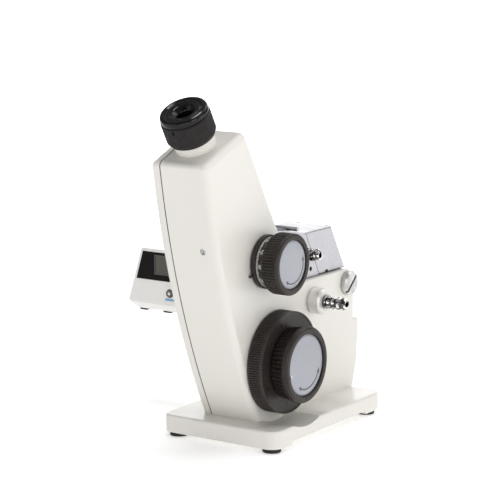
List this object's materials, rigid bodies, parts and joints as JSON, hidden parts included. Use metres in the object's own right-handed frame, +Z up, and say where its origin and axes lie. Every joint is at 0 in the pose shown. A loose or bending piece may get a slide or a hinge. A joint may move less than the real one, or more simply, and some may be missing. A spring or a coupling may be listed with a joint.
{
  "type": "abbe refractometer",
  "caption": "Bench Abbe refractometer: inclined telescope over a slab casing, geared index handwheel, dispersion knob, hinged water-jacketed prism pair and digital thermometer.",
  "frame": {"origin": "on the table under the base plate, between the four rubber feet and in their plane", "axes": "+X to the operator's right, +Y away from the operator, +Z up from the table"},
  "size_m": [0.1655, 0.2012, 0.2398],
  "materials": {
    "casing_enamel": "semi-gloss",
    "foot_rubber": "matte",
    "screw_steel": "satin",
    "knob_plastic": "satin",
    "knob_disc_grey": "satin",
    "bronze": "satin",
    "gear_brass": "satin",
    "black_anodised": "matte",
    "optical_glass": "polished",
    "mirror_glass": "polished",
    "prism_block_metal": "satin",
    "bright_chrome": "polished",
    "thermometer_plastic": "satin",
    "window_black": "gloss",
    "display_green": "gloss",
    "button_grey": "satin"
  },
  "bodies": {
    "stand": {"base_plate": "casing_enamel", "rubber_feet": "foot_rubber", "foot_screws": "screw_steel", "casing_bolts": "screw_steel", "main_casing": "casing_enamel", "left_cover": "casing_enamel", "cover_screws": "screw_steel", "rear_cover": "casing_enamel", "calibration_screw": "screw_steel", "condenser_lens": "optical_glass", "eyepiece_collar": "casing_enamel", "telescope_tube": "black_anodised", "reticle": "optical_glass", "objective_lens": "optical_glass", "compensator_housing": "black_anodised", "shaft_bushes": "bronze", "scale_pivot_pin": "screw_steel", "refracting_prism_seat": "prism_block_metal", "refracting_prism": "optical_glass", "hinge_shaft": "bright_chrome", "hose_bosses": "bright_chrome", "hose_nozzles": "bright_chrome", "thermometer_case": "thermometer_plastic", "thermometer_back": "thermometer_plastic", "thermometer_window": "window_black", "thermometer_display": "display_green", "thermometer_feet": "foot_rubber", "thermometer_stem": "bright_chrome", "thermometer_nut": "bright_chrome"},
    "handwheel": {"handwheel_flange": "knob_plastic", "handwheel_grip": "knob_plastic", "handwheel_disc": "knob_disc_grey", "handwheel_shaft": "screw_steel", "drive_pinion": "gear_brass"},
    "scale_arm": {"sector_gear": "gear_brass", "scale_glass": "optical_glass", "swing_mirror": "mirror_glass"},
    "dispersion_knob": {"dispersion_shaft": "screw_steel", "dispersion_drum": "knob_plastic", "dispersion_grip": "knob_plastic", "dispersion_disc": "knob_disc_grey"},
    "upper_prism_cell": {"upper_amici_cell": "gear_brass", "upper_amici_prism": "optical_glass"},
    "lower_prism_cell": {"lower_amici_cell": "gear_brass", "lower_amici_prism": "optical_glass"},
    "diopter": {"diopter_ring": "knob_plastic", "eyecup": "knob_plastic"},
    "eyepiece": {"eyepiece_cell": "black_anodised", "eye_lens": "optical_glass", "field_lens": "optical_glass"},
    "prism_box": {"illuminating_prism_box": "prism_block_metal", "illuminating_prism": "optical_glass", "box_hose_nozzles": "bright_chrome", "lock_pin": "screw_steel"},
    "shield": {"light_shield": "prism_block_metal"},
    "reflector": {"reflector_flap": "prism_block_metal", "reflector_mirror": "mirror_glass"},
    "lock": {"lock_knob": "knob_plastic", "lock_hook": "bright_chrome"},
    "button": {"thermometer_button": "button_grey"}
  },
  "joints": [
    {"name": "handwheel_turn", "type": "hinge", "parent": "stand", "child": "handwheel", "pos_m": [0.0185, -0.0285, 0.0548], "axis": [1, 0, 0], "range_deg": [-120, 120]},
    {"name": "scale_arm_swing", "type": "hinge", "parent": "stand", "child": "scale_arm", "pos_m": [-0.0042, -0.01522, 0.08053], "axis": [1, 0, 0], "range_deg": [-24, 24]},
    {"name": "dispersion_turn", "type": "hinge", "parent": "stand", "child": "dispersion_knob", "pos_m": [0.0185, -0.0415, 0.12576], "axis": [1, 0, 0], "continuous": true},
    {"name": "upper_prism_turn", "type": "hinge", "parent": "stand", "child": "upper_prism_cell", "pos_m": [-0.0042, -0.0415, 0.12576], "axis": [0, -0.5, 0.866], "continuous": true},
    {"name": "lower_prism_turn", "type": "hinge", "parent": "stand", "child": "lower_prism_cell", "pos_m": [-0.0042, -0.0415, 0.12576], "axis": [0, -0.5, 0.866], "continuous": true},
    {"name": "diopter_turn", "type": "hinge", "parent": "stand", "child": "diopter", "pos_m": [-0.0042, -0.0876, 0.20561], "axis": [0, -0.5, 0.866], "range_deg": [-180, 180]},
    {"name": "eyepiece_focus", "type": "slide", "parent": "stand", "child": "eyepiece", "axis": [0, -0.5, 0.866], "range_m": [-0.0015, 0.0015]},
    {"name": "prism_box_open", "type": "hinge", "parent": "stand", "child": "prism_box", "pos_m": [-0.0042, 0.0655, 0.0939], "axis": [-1, 0, 0], "range_deg": [0, 90]},
    {"name": "shield_open", "type": "hinge", "parent": "prism_box", "child": "shield", "pos_m": [-0.0042, 0.0543, 0.13403], "axis": [1, 0, 0], "range_deg": [0, 110]},
    {"name": "reflector_open", "type": "hinge", "parent": "stand", "child": "reflector", "pos_m": [-0.0042, -0.01858, 0.14468], "axis": [1, 0, 0], "range_deg": [0, 60]},
    {"name": "lock_swing", "type": "hinge", "parent": "stand", "child": "lock", "pos_m": [-0.0227, 0.006, 0.131], "axis": [-1, 0, 0], "range_deg": [0, 70]},
    {"name": "button_press", "type": "slide", "parent": "stand", "child": "button", "axis": [0, 1, 0], "range_m": [0, 0.001], "stiffness_N_per_m": 200}
  ],
  "couplings": [
    {"joint": "scale_arm_swing", "follows": "handwheel_turn", "ratio": -0.2},
    {"joint": "upper_prism_turn", "follows": "dispersion_turn", "ratio": -0.5},
    {"joint": "lower_prism_turn", "follows": "dispersion_turn", "ratio": 0.5},
    {"joint": "diopter_turn", "follows": "eyepiece_focus", "rad_per_m": 2094.4}
  ]
}
